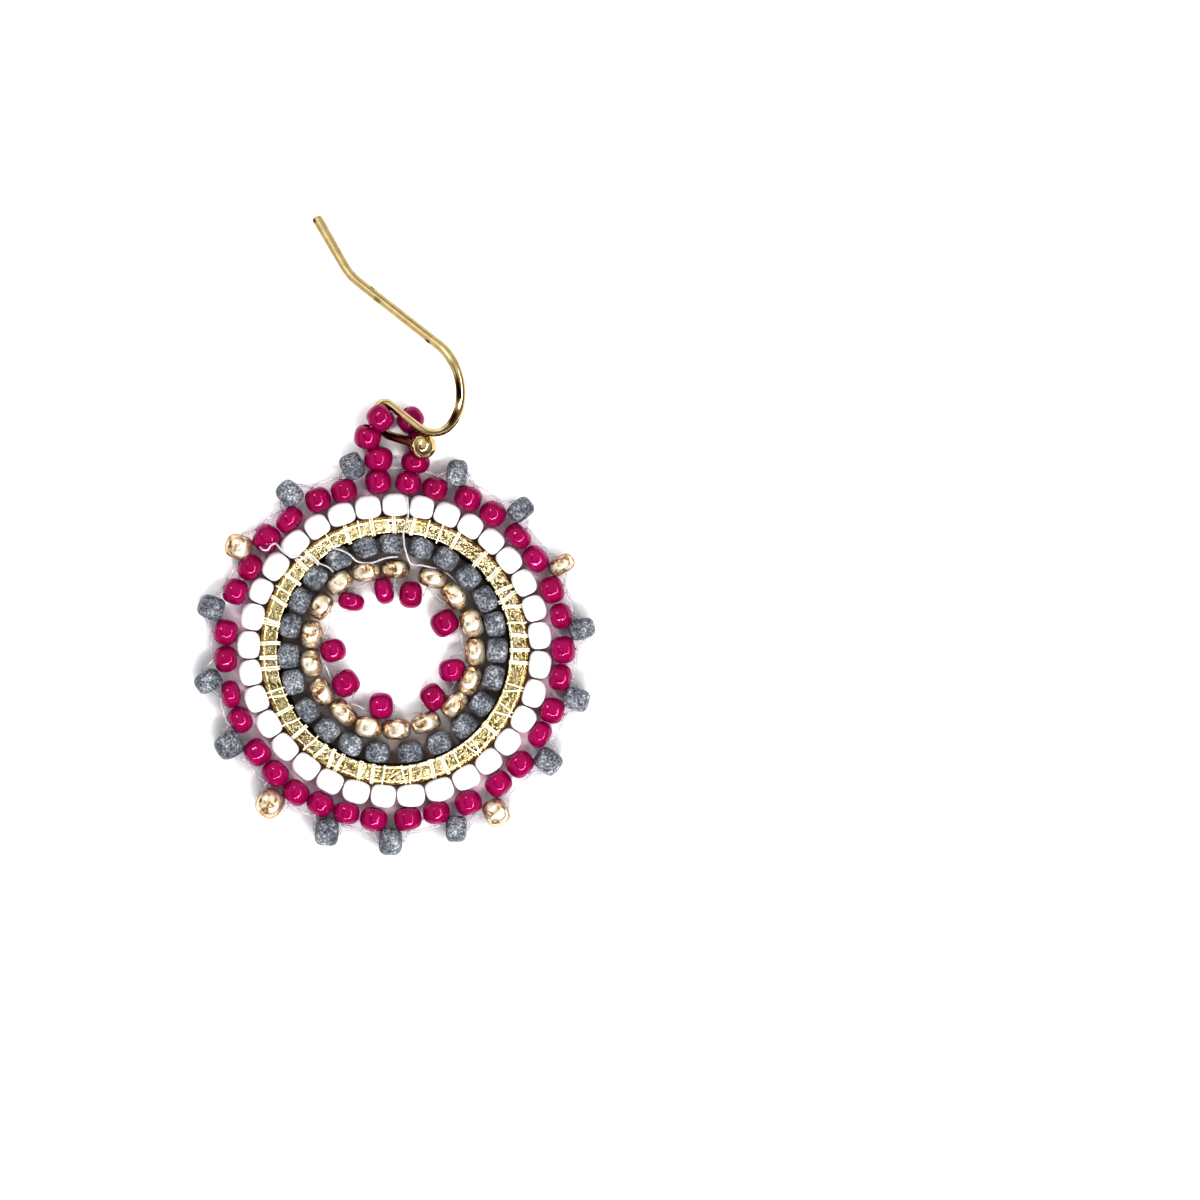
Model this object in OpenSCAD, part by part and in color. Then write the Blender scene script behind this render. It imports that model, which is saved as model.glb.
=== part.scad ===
// Seed bead hoop earring: a flat metal hoop with brick-stitched rows of seed beads
// outside and inside it, edge beads that stand out singly, a loop of beads as the
// bail and a ball-end ear wire. It lies flat. Units are millimetres, +Y runs from
// the hoop to the tip of the ear wire and +Z is up from the surface it lies on.

/* [Hoop] */
// Diameter over the outside of the hoop
hoop_outer_d = 21.5; // [21.3:0.05:21.5]
// Diameter of the hole in the hoop
hoop_inner_d = 18.8; // [18.8:0.05:19.2]
// Thickness of the hoop's metal
hoop_thickness = 1.1; // [0.8:0.1:1.6]
// Bevel on the hoop's outer rim
hoop_outer_bevel = 0.25; // [0.1:0.05:0.3]
// Bevel on the rim of the hoop's hole
hoop_inner_bevel = 0.1; // [0.05:0.05:0.2]

/* [Seed beads] */
// Diameter of a bead across its hole
bead_d = 2.2; // [2.1:0.05:2.2]
// Diameter of the hole through a bead
bead_hole_d = 0.8; // [0.5:0.1:0.9]
// Rounding of a bead's ends
bead_round = 0.6; // [0.3:0.05:0.65]
// Gap that two neighbouring pieces keep
piece_gap = 0.06; // [0.05:0.01:0.08]

/* [Bead rows] */
// Distance from the hoop's centre to the middle of the white row
white_row_r = 11.68; // [11.66:0.01:11.7]
// Width of the white row, one bead's length
white_row_w = 1.74; // [1.6:0.02:1.74]
// Distance from the hoop's centre to the middle of the magenta row
magenta_row_r = 13.52; // [13.5:0.01:13.56]
// Width of the magenta row, one bead's length
magenta_row_w = 1.8; // [1.7:0.02:1.8]
// Distance from the inner beadwork's centre to the middle of the slate row
slate_row_r = 8.3; // [8.2:0.05:8.3]
// Width of the slate row, one bead's length
slate_row_w = 1.65; // [1.5:0.05:1.65]
// Height of the slate row, its beads' diameter
slate_row_h = 2.05; // [1.9:0.05:2.2]
// Distance from the inner beadwork's centre to the middle of the gold row
gold_row_r = 6.5; // [6.4:0.05:6.6]
// Width of the gold row, one bead's length
gold_row_w = 1.4; // [1.3:0.05:1.5]
// How far the inner beadwork sits off the hoop's centre, towards the ear wire's side
inner_work_offset = 0.2; // [0:0.05:0.2]

/* [Ear wire] */
// Diameter of the ear wire
wire_d = 0.72; // [0.6:0.02:0.74]
// Diameter of the ball that ends the wire
ball_d = 1.96; // [1.7:0.02:2]
// How far the plane of the ear wire tips up from the surface, in degrees
wire_tilt = 43; // [43:0.5:43.5]
// Length of the straight tip that goes through the ear
tip_length = 4.45; // [4:0.05:5]
// Length of the straight leg behind the ear
leg_length = 9.45; // [9.35:0.05:9.5]
// Radius of the bend at the top of the arch
arch_top_r = 3.95; // [3.9:0.05:4]
// Radius of the bend on the arch's front side
arch_front_r = 3.15; // [3.1:0.05:3.2]

/* [Hidden] */
$fn = 48;

// Height of the beadwork's middle above the surface
mid_z = bead_d / 2;
wire_r = wire_d / 2;
// How much wider than the wire the spheres at its seams are
seam_cover = 0.004;
// Direction in which the inner beadwork sits off centre
inner_work_turn = 135;

// Columns of the two tables of edge beads, angles in degrees and sizes in millimetres
ANGLE = 0;   // where the bead stands round the hoop
RADIUS = 1;  // from the hoop's centre to the bead's middle
TURN = 2;    // how far the bead is turned from pointing straight out
ACROSS = 3;  // its diameter across the hole
ALONG = 4;   // its length along the hole
COLOUR = 5;

OUTER_PICOTS = [
    [102.9, 15.10,  12, 2.15, 1.75, "slate"],
    [123.8, 15.10,  11, 2.15, 1.80, "slate"],
    [146.4, 14.95,  16, 2.15, 1.90, "gold"],
    [166.8, 15.05,  -7, 2.15, 1.85, "slate"],
    [189.4, 15.10,  20, 2.20, 1.65, "slate"],
    [209.8, 15.25,   0, 2.10, 2.00, "slate"],
    [230.9, 15.70,   6, 2.20, 1.90, "gold"],
    [249.6, 15.50,  14, 2.20, 1.85, "slate"],
    [268.8, 15.30,  -1, 2.20, 1.80, "slate"],
    [289.1, 15.10, -19, 2.15, 1.65, "slate"],
    [302.1, 15.30,  -5, 2.20, 1.90, "gold"],
    [324.2, 15.15,  -3, 2.15, 1.85, "slate"],
    [345.0, 15.05,  -3, 2.10, 1.75, "slate"],
    [  6.6, 15.10,   8, 2.10, 1.60, "slate"],
    [ 27.1, 15.00,   4, 2.20, 1.35, "gold"],
    [ 48.1, 15.10, -10, 2.15, 1.60, "slate"],
    [ 70.6, 15.05,  13, 2.15, 1.65, "slate"]
];

INNER_PICOTS = [
    [131.5, 5.20,  36, 2.15, 1.40, "magenta"],
    [100.0, 4.85,   2, 2.15, 1.45, "magenta"],
    [ 73.7, 4.65,  14, 2.20, 1.80, "magenta"],
    [ 28.6, 4.55,   2, 2.20, 2.00, "magenta"],
    [341.1, 4.88,  24, 2.20, 1.80, "magenta"],
    [309.5, 4.84,  -4, 2.20, 1.85, "magenta"],
    [256.5, 4.55,  15, 2.15, 1.90, "magenta"],
    [214.0, 4.70,   2, 2.20, 2.00, "magenta"],
    [180.2, 4.90,  17, 2.10, 1.75, "magenta"]
];

// Columns of the table of bail beads, along the string from the left of the loop to
// the right, with places from the hoop's centre and the hole's direction in degrees
X = 0;
Y = 1;
Z = 2;
HEADING = 3;
RISE = 4;
BAIL_D = 5;
BAIL_L = 6;

BAIL_BEADS = [
    [-1.27, 15.35, 1.12,  84,   3, 2.20, 1.66],
    [-2.14, 17.08, 1.50,  82,  14, 2.08, 1.45],
    [-1.12, 18.60, 2.06,  41,   3, 2.04, 1.54],
    [ 1.27, 18.46, 1.08, -54,  -8, 2.10, 1.60],
    [ 1.94, 16.72, 1.05, -80,   0, 2.05, 1.50],
    [ 1.68, 15.07, 1.10, -98,   0, 2.20, 1.46]
];

// The ear wire's route in its own plane, from the tip to the ball. Its first number
// is a straight's length or a bend's radius, and its second the bend's turn in
// degrees, to the left where it is positive.
STRAIGHT = 0;
WIRE_ROUTE = [
    [tip_length, STRAIGHT],
    [4.2, -26],
    [leg_length, STRAIGHT],
    [arch_top_r, 111.5],
    [arch_front_r, 68.5],
    [3.2, STRAIGHT],
    [0.95, -98],
    [1.55, -102],
    [3.5, STRAIGHT]
];
// Place and heading of the tip in that plane, whose first axis lies on the surface
wire_start = [16.45, 0.1, 162];
// Place on the surface that the plane turns about, and the direction of its first axis
wire_foot = [-1.64, 18.84];
wire_lie = 106.5;

function polar(r, a) = [r * cos(a), r * sin(a)];

// Place and heading after one stretch of the route
function stretch_end(at, s) =
    s[1] == STRAIGHT
        ? [at[0] + s[0] * cos(at[2]), at[1] + s[0] * sin(at[2]), at[2]]
        : let (side = sign(s[1]), out = at[2] + s[1])
          [at[0] + side * s[0] * (sin(out) - sin(at[2])),
           at[1] - side * s[0] * (cos(out) - cos(at[2])),
           out];
function wire_at(n) = n == 0 ? wire_start : stretch_end(wire_at(n - 1), WIRE_ROUTE[n - 1]);

// How far the object reaches in plan, which sets the origin under its middle
function picot_middle(p) = polar(p[RADIUS], p[ANGLE]);
tip_in_plan = wire_foot + polar(wire_start[0], wire_lie);
reach_left = min([for (p = OUTER_PICOTS) picot_middle(p)[0] - p[ACROSS] / 2]);
reach_right = max([for (p = OUTER_PICOTS) picot_middle(p)[0] + p[ACROSS] / 2]);
reach_bottom = min([for (p = OUTER_PICOTS) picot_middle(p)[1] - p[ACROSS] / 2]);
reach_top = tip_in_plan[1] + wire_r;
hoop_centre = [-(reach_left + reach_right) / 2, -(reach_bottom + reach_top) / 2, 0];
inner_centre = polar(inner_work_offset, inner_work_turn);

function two_digits(n) = n < 10 ? str("0", n) : str(n);
function outer_picot_name(n) = str("outer_picot_", two_digits(n + 1));
function inner_picot_name(n) = str("inner_picot_", n + 1);
function bail_bead_name(n) = str("bail_bead_", n + 1);

outer_picot_numbers = [0 : len(OUTER_PICOTS) - 1];
inner_picot_numbers = [0 : len(INNER_PICOTS) - 1];
bail_bead_numbers = [0 : len(BAIL_BEADS) - 1];

bead_white = [0.96, 0.96, 0.95];
bead_magenta = [0.74, 0.02, 0.38];
bead_slate = [0.38, 0.42, 0.47];
bead_gold = [0.88, 0.74, 0.56];
foil_gold = [0.83, 0.72, 0.42];
wire_gold = [0.80, 0.66, 0.38];

function bead_colour(name) =
    name == "gold" ? bead_gold
    : name == "magenta" ? bead_magenta
    : bead_slate;

// A rectangle with rounded corners, its middle at the origin
module rounded_section(w, h, r) {
    square([w - 2 * r, h], center = true);
    square([w, h - 2 * r], center = true);
    for (x = [-1, 1], y = [-1, 1])
        translate([x * (w / 2 - r), y * (h / 2 - r)]) circle(r);
}

// A bead with its hole along Z. grow makes it larger all over, for a seat that clears it.
module seed_bead(d, l, grow = 0) {
    round_r = min(bead_round, l / 2 - 0.1) + grow;
    rotate_extrude()
        intersection() {
            rounded_section(d + 2 * grow, l + 2 * grow, round_r);
            translate([grow > 0 ? 0 : bead_hole_d / 2, -l]) square([d, 2 * l]);
        }
}

module edge_bead(p, grow = 0) {
    translate(concat(picot_middle(p), mid_z))
        rotate([0, 90, p[ANGLE] + p[TURN] + 90])
            seed_bead(p[ACROSS], p[ALONG], grow);
}

module string_bead(b, grow = 0) {
    translate([b[X], b[Y], b[Z]])
        rotate([0, 90 - b[RISE], b[HEADING]])
            seed_bead(b[BAIL_D], b[BAIL_L], grow);
}

// A whole row of beads, as the ring that the row fills
module row_ring(r, w, h) {
    translate([0, 0, mid_z])
        rotate_extrude()
            translate([r, 0]) rounded_section(w, h, bead_round);
}

module hoop() {
    outer = hoop_outer_d / 2;
    inner = hoop_inner_d / 2;
    half = hoop_thickness / 2;
    color(foil_gold)
        translate(hoop_centre + [0, 0, mid_z])
            rotate_extrude()
                polygon([
                    [inner, half - hoop_inner_bevel],
                    [inner + hoop_inner_bevel, half],
                    [outer - hoop_outer_bevel, half],
                    [outer, half - hoop_outer_bevel],
                    [outer, hoop_outer_bevel - half],
                    [outer - hoop_outer_bevel, -half],
                    [inner + hoop_inner_bevel, -half],
                    [inner, hoop_inner_bevel - half]
                ]);
}

module white_bead_row() {
    color(bead_white)
        translate(hoop_centre) row_ring(white_row_r, white_row_w, bead_d);
}

// The outer row, with a seat where each edge bead and the ends of the bail nest into it
module magenta_bead_row() {
    color(bead_magenta)
        translate(hoop_centre)
            difference() {
                row_ring(magenta_row_r, magenta_row_w, bead_d);
                for (p = OUTER_PICOTS) edge_bead(p, piece_gap);
                for (b = [BAIL_BEADS[0], BAIL_BEADS[len(BAIL_BEADS) - 1]]) string_bead(b, piece_gap);
            }
}

module slate_bead_row() {
    color(bead_slate)
        translate(hoop_centre + concat(inner_centre, 0)) row_ring(slate_row_r, slate_row_w, slate_row_h);
}

// The innermost row, with a seat for each bead that stands into the opening
module gold_bead_row() {
    color(bead_gold)
        translate(hoop_centre)
            difference() {
                translate(concat(inner_centre, 0)) row_ring(gold_row_r, gold_row_w, bead_d);
                for (p = INNER_PICOTS) edge_bead(p, piece_gap);
            }
}

module outer_picot(n) {
    color(bead_colour(OUTER_PICOTS[n][COLOUR]))
        translate(hoop_centre) edge_bead(OUTER_PICOTS[n]);
}

module inner_picot(n) {
    color(bead_colour(INNER_PICOTS[n][COLOUR]))
        translate(hoop_centre) edge_bead(INNER_PICOTS[n]);
}

module bail_bead(n) {
    color(bead_magenta)
        translate(hoop_centre) string_bead(BAIL_BEADS[n]);
}

// One stretch of round wire, from a place and heading in the wire's plane
module wire_stretch(at, s) {
    translate([at[0], at[1], 0])
        rotate([0, 0, at[2]])
            if (s[1] == STRAIGHT)
                rotate([0, 90, 0]) cylinder(r = wire_r, h = s[0]);
            else
                translate([0, sign(s[1]) * s[0], 0])
                    rotate([0, 0, s[1] > 0 ? -90 : 90 + s[1]])
                        rotate_extrude(angle = abs(s[1]))
                            translate([s[0], 0]) circle(wire_r);
}

// The whole ear wire is one bent wire with a ball melted on its end. A sphere a hair
// wider than the wire closes the seam between one stretch and the next.
module ear_wire() {
    last = wire_at(len(WIRE_ROUTE));
    color(wire_gold)
        translate(hoop_centre + concat(wire_foot, wire_r))
            rotate([0, 0, wire_lie])
                rotate([180 - wire_tilt, 0, 0]) {
                    for (n = [0 : len(WIRE_ROUTE) - 1]) wire_stretch(wire_at(n), WIRE_ROUTE[n]);
                    for (n = [1 : len(WIRE_ROUTE) - 1])
                        translate([wire_at(n)[0], wire_at(n)[1], 0]) sphere(wire_r + seam_cover);
                    translate([last[0], last[1], 0]) sphere(ball_d / 2);
                }
}

hoop();
white_bead_row();
magenta_bead_row();
slate_bead_row();
gold_bead_row();
ear_wire();
for (n = outer_picot_numbers) outer_picot(n);
for (n = inner_picot_numbers) inner_picot(n);
for (n = bail_bead_numbers) bail_bead(n);
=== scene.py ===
"""Seed bead hoop earring, lying flat on a white surface and seen from straight above.

Lengths are named in millimetres and turned into metres where a mesh is made. Places in
plan are counted from the centre of the hoop, with angles in degrees from +X towards +Y.
"""

import math
import random

import bpy
import numpy as np
from mathutils import Matrix, Vector, noise


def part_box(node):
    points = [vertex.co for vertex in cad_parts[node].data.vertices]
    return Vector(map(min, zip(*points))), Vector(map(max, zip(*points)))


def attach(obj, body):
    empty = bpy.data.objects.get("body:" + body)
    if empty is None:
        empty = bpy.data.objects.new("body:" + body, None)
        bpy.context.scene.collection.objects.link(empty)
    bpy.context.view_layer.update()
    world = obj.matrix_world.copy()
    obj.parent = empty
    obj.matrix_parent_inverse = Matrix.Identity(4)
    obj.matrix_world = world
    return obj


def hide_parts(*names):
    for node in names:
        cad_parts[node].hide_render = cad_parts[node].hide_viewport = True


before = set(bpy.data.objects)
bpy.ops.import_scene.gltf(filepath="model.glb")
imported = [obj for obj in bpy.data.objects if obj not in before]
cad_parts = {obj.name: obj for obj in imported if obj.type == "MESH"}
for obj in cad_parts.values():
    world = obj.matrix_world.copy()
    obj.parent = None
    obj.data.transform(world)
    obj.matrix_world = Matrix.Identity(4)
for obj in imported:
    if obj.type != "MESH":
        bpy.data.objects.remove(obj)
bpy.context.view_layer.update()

MM = 0.001
hoop_low, hoop_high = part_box("hoop")
HOOP_CENTRE = np.array([(hoop_low.x + hoop_high.x) / 2, (hoop_low.y + hoop_high.y) / 2, 0.0]) / MM
HOOP_OUTER_R = (hoop_high.x - hoop_low.x) / 2 / MM
HOOP_INNER_R = 9.4
HOOP_TOP = hoop_high.z / MM
HOOP_BOTTOM = hoop_low.z / MM
MID_Z = (HOOP_TOP + HOOP_BOTTOM) / 2


def polar(radius, degrees):
    return np.array([radius * math.cos(math.radians(degrees)), radius * math.sin(math.radians(degrees))])


# Tables of beads

# Outer edge beads: angle, radius, turn from pointing straight out, size across, size along
OUTER_PICOTS = [
    (102.9, 15.10, 12, 2.15, 1.75, "slate"),
    (123.8, 15.10, 11, 2.15, 1.80, "slate"),
    (146.4, 14.95, 16, 2.15, 1.90, "gold"),
    (166.8, 15.05, -7, 2.15, 1.85, "slate"),
    (189.4, 15.10, 20, 2.20, 1.65, "slate"),
    (209.8, 15.26, 0, 2.22, 2.00, "slate"),
    (230.9, 15.76, 6, 2.34, 2.04, "gold"),
    (249.6, 15.50, 14, 2.20, 1.85, "slate"),
    (268.8, 15.28, -1, 2.22, 1.82, "slate"),
    (289.1, 15.10, -19, 2.15, 1.65, "slate"),
    (302.1, 15.30, -5, 2.20, 1.90, "gold"),
    (324.2, 15.15, -3, 2.15, 1.85, "slate"),
    (345.0, 15.05, -3, 2.10, 1.75, "slate"),
    (366.6, 15.09, 8, 2.10, 1.60, "slate"),
    (387.1, 15.00, 4, 2.20, 1.35, "gold"),
    (408.1, 15.10, -10, 2.15, 1.60, "slate"),
    (430.6, 15.05, 13, 2.15, 1.65, "slate"),
]
# Inner edge beads, in the same columns
INNER_PICOTS = [
    (131.5, 5.20, 36, 2.15, 1.40, "magenta"),
    (100.0, 4.85, 2, 2.15, 1.45, "magenta"),
    (73.7, 4.65, 14, 2.20, 1.80, "magenta"),
    (28.6, 4.55, 2, 2.20, 2.00, "magenta"),
    (341.1, 4.88, 24, 2.20, 1.80, "magenta"),
    (309.5, 4.84, -4, 2.20, 1.85, "magenta"),
    (256.5, 4.55, 15, 2.15, 1.90, "magenta"),
    (214.0, 4.70, 2, 2.20, 2.00, "magenta"),
    (180.2, 4.90, 17, 2.10, 1.75, "magenta"),
]
# Beads of the bail: x, y, z, heading of the hole, its rise, size across, size along
BAIL_BEADS = [
    (-1.27, 15.35, 1.12, 84, 3, 2.30, 1.92),
    (-2.14, 17.08, 1.50, 82, 14, 2.20, 1.82),
    (-1.12, 18.60, 2.06, 41, 3, 2.20, 1.92),
    (1.27, 18.46, 1.08, -54, -8, 2.20, 1.85),
    (1.94, 16.72, 1.05, -80, 0, 2.10, 1.62),
    (1.68, 15.07, 1.10, -98, 0, 2.30, 1.70),
]
# The slate and gold rows lie round a centre of their own
INNER_CENTRE = polar(0.2, 135)
# Gaps between neighbouring beads of the white row, as angles
WHITE_GAPS = [
    0.2, 11.5, 22.2, 33.0, 43.5, 53.5, 63.5, 74.2, 84.2, 95.1, 105.8, 116.9, 127.1, 138.8, 150.8, 161.1,
    172.1, 183.5, 194.0, 204.8, 215.8, 227.0, 238.3, 249.2, 260.4, 270.8, 282.2, 293.8, 304.8, 315.7,
    326.5, 337.2, 348.7,
]
WHITE_RADIUS = 11.68
WHITE_ALONG = 1.84
# The share of its gap that a white bead fills, and the most that it is across
WHITE_FILL = 0.957
WHITE_ACROSS = 2.28
# Magenta row: angle, radius, size across, size along
MAGENTA_BEADS = [
    (0.2, 13.50, 2.20, 1.84), (11.7, 13.58, 2.10, 1.65), (21.1, 13.49, 2.15, 1.85),
    (33.0, 13.47, 2.20, 1.75), (42.8, 13.46, 2.25, 1.60), (54.3, 13.47, 2.15, 1.90),
    (64.2, 13.52, 2.20, 1.90), (76.0, 13.35, 2.05, 1.75), (85.3, 13.46, 2.10, 1.75),
    (95.5, 13.57, 2.10, 1.88), (107.6, 13.38, 2.10, 1.80), (116.9, 13.53, 2.05, 1.90),
    (128.8, 13.42, 2.30, 1.60), (138.8, 13.60, 2.20, 2.00), (150.1, 13.34, 2.15, 1.75),
    (159.7, 13.58, 2.10, 1.80), (173.8, 13.58, 2.07, 1.85), (182.9, 13.52, 2.18, 1.76),
    (194.9, 13.56, 2.20, 1.45), (204.2, 13.52, 2.20, 1.75), (216.5, 13.66, 2.20, 1.90),
    (225.9, 13.68, 2.20, 1.85), (235.3, 13.82, 2.15, 1.80), (244.2, 13.64, 2.20, 1.80),
    (253.5, 13.56, 2.10, 1.65), (263.0, 13.60, 2.20, 1.80), (274.5, 13.51, 2.20, 1.82),
    (284.5, 13.40, 2.20, 1.75), (295.9, 13.53, 2.20, 1.88), (308.0, 13.53, 2.15, 1.82),
    (317.9, 13.56, 2.20, 1.90), (330.0, 13.43, 2.15, 1.60), (339.2, 13.50, 2.05, 1.88),
    (350.7, 13.43, 2.15, 1.75),
]
SLATE_ANGLES = [
    90.6, 74.4, 59.4, 43.5, 28.2, 13.4, -0.7, -16.0, -31.9, -47.5, -63.9, -80.5, -98.4, -113.8, -129.0,
    -144.2, -161.6, -176.1, 167.4, 152.3, 137.2, 121.0, 105.3,
]
SLATE_RADIUS = 8.37
SLATE_ACROSS = 2.05
SLATE_ALONG = 1.72
# Gold row, from the inner rows' own centre: angle, radius, turn from pointing straight out, size across,
# size along
GOLD_BEADS = [
    (88.0, 6.40, 0, 2.30, 1.52), (60.8, 6.50, 14, 2.35, 1.52), (40.5, 6.48, 0, 2.42, 1.66),
    (18.0, 6.65, 0, 2.38, 1.80), (-2.1, 6.61, 4, 2.35, 1.62), (-22.4, 6.70, 3, 2.40, 1.62),
    (-41.8, 6.66, -3, 2.42, 1.58), (-66.0, 6.49, -4, 2.40, 1.56), (-87.3, 6.44, 0, 2.35, 1.60),
    (-107.4, 6.60, 9, 2.32, 1.66), (-127.7, 6.46, -7, 2.40, 1.60), (-148.6, 6.65, 0, 2.35, 1.62),
    (-169.8, 6.64, 5, 2.30, 1.66), (170.0, 6.59, 8, 2.30, 1.68), (149.2, 6.70, -5, 2.15, 1.62),
    (128.6, 6.80, 0, 2.22, 1.55), (109.0, 6.55, -13, 2.30, 1.60),
]

# How square each kind of bead is towards the two ends of its hole: 2 is an ellipse in section
SQUARENESS = {"white": (2.7, 3.3), "magenta": (2.6, 2.6), "slate": (3.5, 3.5), "gold": (2.9, 2.9)}
HOLE_D = {"white": 0.75, "magenta": 0.8, "slate": 0.75, "gold": 0.8}

BEAD_SIDES = 36
SIDE_POINTS = 20
SECTION_STEPS = 600
LIP = 0.09
# How far a bead strays from its plain form: how oval it is, how much its ends slope, and its waves
BEAD_OVAL = 0.018
END_SLOPE = 0.07
WAVES = 4
WAVE_FINENESS = 1.5
WAVE_DEPTH = 0.018
# Nearly a full turn in radians, from which spins and phases are drawn
SPIN = 6.28
THREAD_SIDES = 8
# Nothing lies lower than this over the floor
FLOOR_GAP = 0.005


# Meshes from arrays

class Shape:
    """Points in millimetres and faces of several bodies that become one mesh, with their tints."""

    def __init__(self):
        self.points = []
        self.faces = []
        self.tints = []
        self.total = 0

    def add(self, points, faces, tint=0.5):
        self.points.append(points)
        self.faces += [[i + self.total for i in face] for face in faces]
        self.tints += list(np.broadcast_to(tint, len(points)))
        self.total += len(points)

    def build(self, name, material, slot, replaced=()):
        """Makes the object, in the frame's place, riding on the one body."""
        points = (np.vstack(self.points) + HOOP_CENTRE) * MM
        mesh = bpy.data.meshes.new(name)
        mesh.from_pydata(points.tolist(), [], self.faces)
        mesh.attributes.new("tint", "FLOAT", "POINT").data.foreach_set("value", self.tints)
        mesh.polygons.foreach_set("use_smooth", [True] * len(mesh.polygons))
        mesh.update()
        piece = bpy.data.objects.new(name, mesh)
        bpy.context.scene.collection.objects.link(piece)
        mesh.materials.append(material)
        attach(piece, "root")
        if replaced:
            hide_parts(*replaced)


def grid_faces(rows, columns, close_rows, close_columns):
    """Quads over a grid of points numbered row by row."""
    faces = []
    for i in range(rows if close_rows else rows - 1):
        for j in range(columns if close_columns else columns - 1):
            a = i * columns + j
            b = i * columns + (j + 1) % columns
            c = ((i + 1) % rows) * columns + (j + 1) % columns
            d = ((i + 1) % rows) * columns + j
            faces.append((a, b, c, d))
    return faces


def lengths_along(line):
    """How far along a line each of its points is."""
    steps = np.linalg.norm(np.diff(line, axis=0), axis=1)
    return np.concatenate([[0], np.cumsum(steps)])


def resample(points, count):
    """The same line with its points evenly spaced."""
    along = lengths_along(points)
    wanted = np.linspace(0, along[-1], count)
    return np.column_stack([np.interp(wanted, along, points[:, k]) for k in range(points.shape[1])])


def bead_section(across, along, squareness, hole_d):
    """Half of a bead's section as (radius, height) points, once round from the hole's top lip."""
    r_max, half, r_hole = across / 2, along / 2, hole_d / 2
    t = np.linspace(math.pi / 2, -math.pi / 2, SECTION_STEPS)
    power = np.where(t > 0, 2 / squareness[0], 2 / squareness[1])
    r = r_max * np.abs(np.cos(t)) ** power
    z = half * np.sign(np.sin(t)) * np.abs(np.sin(t)) ** power
    keep = r >= r_hole + LIP
    r, z = r[keep], z[keep]
    z = z * np.where(z > 0, half / z[0], half / -z[-1])
    side = resample(np.column_stack([r, z]), SIDE_POINTS)
    turns = np.radians([30, 60])
    lip = [(r_hole + LIP * (1 - math.sin(a)), half - LIP * (1 - math.cos(a))) for a in turns]
    lower = [(x, -y) for x, y in lip]
    return np.vstack([side, lower, [(r_hole, 0.0)], lip[::-1]])


def axis_matrix(heading, rise, spin):
    """Turns a bead's own Z, its hole, to a heading and a rise above the surface."""
    h, e = math.radians(heading), math.radians(rise)
    axis = Vector((math.cos(h) * math.cos(e), math.sin(h) * math.cos(e), math.sin(e)))
    turn = axis.to_track_quat("Z", "Y").to_matrix() @ Matrix.Rotation(spin, 3, "Z")
    return np.array(turn)


def add_bead(shape, style, place, heading, rise, across, along, rng, rough=1.0):
    """One irregular bead. place is the bead's middle, from the hoop's centre, raised if it is too low."""
    vary = rng.uniform(0.92, 1.08)
    section = bead_section(across, along, [square * vary for square in SQUARENESS[style]], HOLE_D[style])
    around = np.linspace(0, 2 * math.pi, BEAD_SIDES, endpoint=False)
    count = len(section)
    r = np.repeat(section[:, 0], BEAD_SIDES)
    z = np.repeat(section[:, 1], BEAD_SIDES)
    a = np.tile(around, count)
    oval = 1 + rough * rng.uniform(0.0, BEAD_OVAL) * np.cos(2 * (a - rng.uniform(0, math.pi)))
    slope = rough * rng.uniform(0.0, END_SLOPE)
    lean = rng.uniform(0, 2 * math.pi)
    z = z * (1 + slope * np.cos(a - lean) * r / (across / 2))
    points = np.column_stack([r * np.cos(a) * oval, r * np.sin(a) * oval, z])
    # Slow waves in the glass, as small moves in and out
    wave = np.zeros(len(points))
    for _ in range(WAVES):
        direction = np.array([rng.gauss(0, 1) for _ in range(3)])
        wave += np.sin(points @ direction * WAVE_FINENESS + rng.uniform(0, SPIN)) / WAVES
    points *= (1 + rough * WAVE_DEPTH * wave)[:, None]
    points = points @ axis_matrix(heading, rise, rng.uniform(0, SPIN)).T
    low = points[:, 2].min()
    middle = np.array(place, float)
    middle[2] = max(middle[2], FLOOR_GAP - low)
    shape.add(points + middle, grid_faces(count, BEAD_SIDES, True, True), rng.random())


def catmull(points, steps):
    """A smooth line through points."""
    p = np.array(points, float)
    p = np.vstack([2 * p[0] - p[1], p, 2 * p[-1] - p[-2]])
    line = []
    for i in range(1, len(p) - 2):
        for t in np.linspace(0, 1, steps, endpoint=False):
            a, b, c, d = p[i - 1], p[i], p[i + 1], p[i + 2]
            line.append(0.5 * (2 * b + (c - a) * t + (2 * a - 5 * b + 4 * c - d) * t ** 2
                               + (3 * b - a - 3 * c + d) * t ** 3))
    line.append(p[-2])
    return np.array(line)


def tube_rings(line, widths, sides, flat=1.0, closed=False, up=(0, 0, 1)):
    """Rings of points round a line, as (points of the line, sides, 3). flat squeezes them along up."""
    count = len(line)
    widths = np.broadcast_to(np.array(widths, float), (count,))
    if closed:
        tangents = np.roll(line, -1, axis=0) - np.roll(line, 1, axis=0)
    else:
        tangents = np.gradient(line, axis=0)
    tangents /= np.linalg.norm(tangents, axis=1)[:, None]
    side = np.cross(np.array(up, float), tangents[0])
    if np.linalg.norm(side) < 1e-3:
        side = np.cross((1.0, 0.0, 0.0), tangents[0])
    around = np.linspace(0, 2 * math.pi, sides, endpoint=False)
    rings = []
    for i in range(count):
        side = side - tangents[i] * (side @ tangents[i])
        side /= np.linalg.norm(side)
        over = np.cross(tangents[i], side)
        ring = (np.cos(around)[:, None] * side + flat * np.sin(around)[:, None] * over) * widths[i] / 2
        rings.append(line[i] + ring)
    return np.array(rings)


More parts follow.
